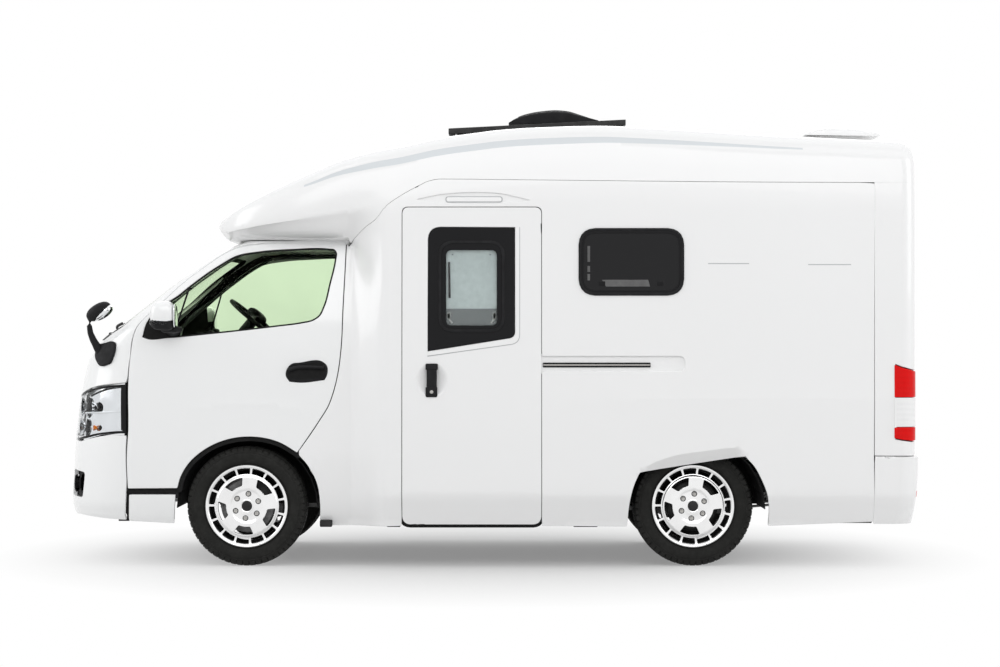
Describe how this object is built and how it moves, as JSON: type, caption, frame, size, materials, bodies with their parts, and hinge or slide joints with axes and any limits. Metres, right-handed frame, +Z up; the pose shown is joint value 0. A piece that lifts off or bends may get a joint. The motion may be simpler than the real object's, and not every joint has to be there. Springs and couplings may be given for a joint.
{
  "type": "camper van",
  "caption": "High-roof camper van with overcab, sliding entry door, hinged cab doors, steering front wheels and opening roof vents.",
  "frame": {"origin": "on the ground under the middle of the vehicle's box", "axes": "+Z up, -X towards the nose, -Y towards the side with the sliding entry door"},
  "size_m": [4.959, 2.056, 2.6605],
  "materials": {
    "white_paint": "gloss white paint",
    "white_gelcoat": "gloss white moulded composite",
    "tinted_glass": "tinted glass",
    "smoked_pane": "dark smoked acrylic",
    "lamp_lens": "clear lens",
    "red_lens": "red lens",
    "grille_chrome": "bright plated bars",
    "black_trim": "black moulded trim",
    "mirror_shell": "white mirror shell",
    "cell_panel": "dark cells under glass",
    "frame_black": "black chassis paint",
    "bare_metal": "bare cast metal",
    "exhaust_steel": "stainless pipe",
    "floor_grey": "grey floor",
    "cabin_plastic": "dark grained plastic",
    "seat_fabric": "dark woven seat cloth",
    "alloy": "silver machined alloy",
    "tyre_rubber": "black rubber"
  },
  "bodies": {
    "body": {"cab_shell": "white_paint", "windscreen": "tinted_glass", "front_bumper": "white_paint", "front_grille": "grille_chrome", "headlamps": "lamp_lens", "roof_cap": "white_gelcoat", "wall_left": "white_gelcoat", "wall_right": "white_gelcoat", "rear_wall": "white_gelcoat", "rear_bumper": "white_gelcoat", "floor": "floor_grey", "arch_liners": "black_trim", "entry_door": "white_gelcoat", "body_windows": "smoked_pane", "slide_rail": "black_trim", "porch_lamp": "lamp_lens", "tail_lamps": "red_lens", "solar_panel": "cell_panel", "vent_bases": "black_trim", "corner_mirror": "black_trim", "chassis_frame": "frame_black", "engine_block": "bare_metal", "propeller_shaft": "bare_metal", "exhaust": "exhaust_steel", "fuel_tank": "frame_black", "front_suspension": "frame_black", "rear_axle": "frame_black", "leaf_springs": "frame_black", "dashboard": "cabin_plastic", "steering_wheel": "cabin_plastic", "cab_seats": "seat_fabric"},
    "door_left": {"cab_door_left": "white_paint", "cab_door_glass_left": "tinted_glass", "door_mirror_left": "mirror_shell"},
    "door_right": {"cab_door_right": "white_paint", "cab_door_glass_right": "tinted_glass", "door_mirror_right": "mirror_shell"},
    "steer_left": {"knuckle_left": "frame_black"},
    "steer_right": {"knuckle_right": "frame_black"},
    "vent_lid": {"roof_vent_lid": "black_trim"},
    "hatch_lid": {"rear_hatch_lid": "white_gelcoat"},
    "wheel_front_left": {"rim_front_left": "alloy", "tyre_front_left": "tyre_rubber"},
    "wheel_front_right": {"rim_front_right": "alloy", "tyre_front_right": "tyre_rubber"},
    "wheel_rear_left": {"rim_rear_left": "alloy", "tyre_rear_left": "tyre_rubber"},
    "wheel_rear_right": {"rim_rear_right": "alloy", "tyre_rear_right": "tyre_rubber"}
  },
  "joints": [
    {"name": "cab_door_left_swing", "type": "hinge", "parent": "body", "child": "door_left", "pos_m": [-2.056, -0.856, 0.9], "axis": [0, 0, -1], "range_deg": [0, 65]},
    {"name": "cab_door_right_swing", "type": "hinge", "parent": "body", "child": "door_right", "pos_m": [-2.056, 0.856, 0.9], "axis": [0, 0, 1], "range_deg": [0, 65]},
    {"name": "steer_left_turn", "type": "hinge", "parent": "body", "child": "steer_left", "pos_m": [-1.38, -0.68, 0.342], "axis": [0, 0, 1], "range_deg": [-35, 35]},
    {"name": "steer_right_turn", "type": "hinge", "parent": "body", "child": "steer_right", "pos_m": [-1.38, 0.68, 0.342], "axis": [0, 0, 1], "range_deg": [-35, 35]},
    {"name": "vent_lid_lift", "type": "hinge", "parent": "body", "child": "vent_lid", "pos_m": [0.10804, 0.1188, 2.56797], "axis": [0, -1, 0], "range_deg": [0, 60]},
    {"name": "hatch_lid_lift", "type": "hinge", "parent": "body", "child": "hatch_lid", "pos_m": [1.88742, 0, 2.52128], "axis": [0, -1, 0], "range_deg": [0, 60]},
    {"name": "wheel_front_left_roll", "type": "hinge", "parent": "steer_left", "child": "wheel_front_left", "pos_m": [-1.38, -0.742, 0.342], "axis": [0, 1, 0], "continuous": true},
    {"name": "wheel_front_right_roll", "type": "hinge", "parent": "steer_right", "child": "wheel_front_right", "pos_m": [-1.38, 0.742, 0.342], "axis": [0, 1, 0], "continuous": true},
    {"name": "wheel_rear_left_roll", "type": "hinge", "parent": "body", "child": "wheel_rear_left", "pos_m": [1.175, -0.742, 0.342], "axis": [0, 1, 0], "continuous": true},
    {"name": "wheel_rear_right_roll", "type": "hinge", "parent": "body", "child": "wheel_rear_right", "pos_m": [1.175, 0.742, 0.342], "axis": [0, 1, 0], "continuous": true}
  ],
  "couplings": [
    {"joint": "steer_right_turn", "follows": "steer_left_turn", "ratio": 1}
  ]
}
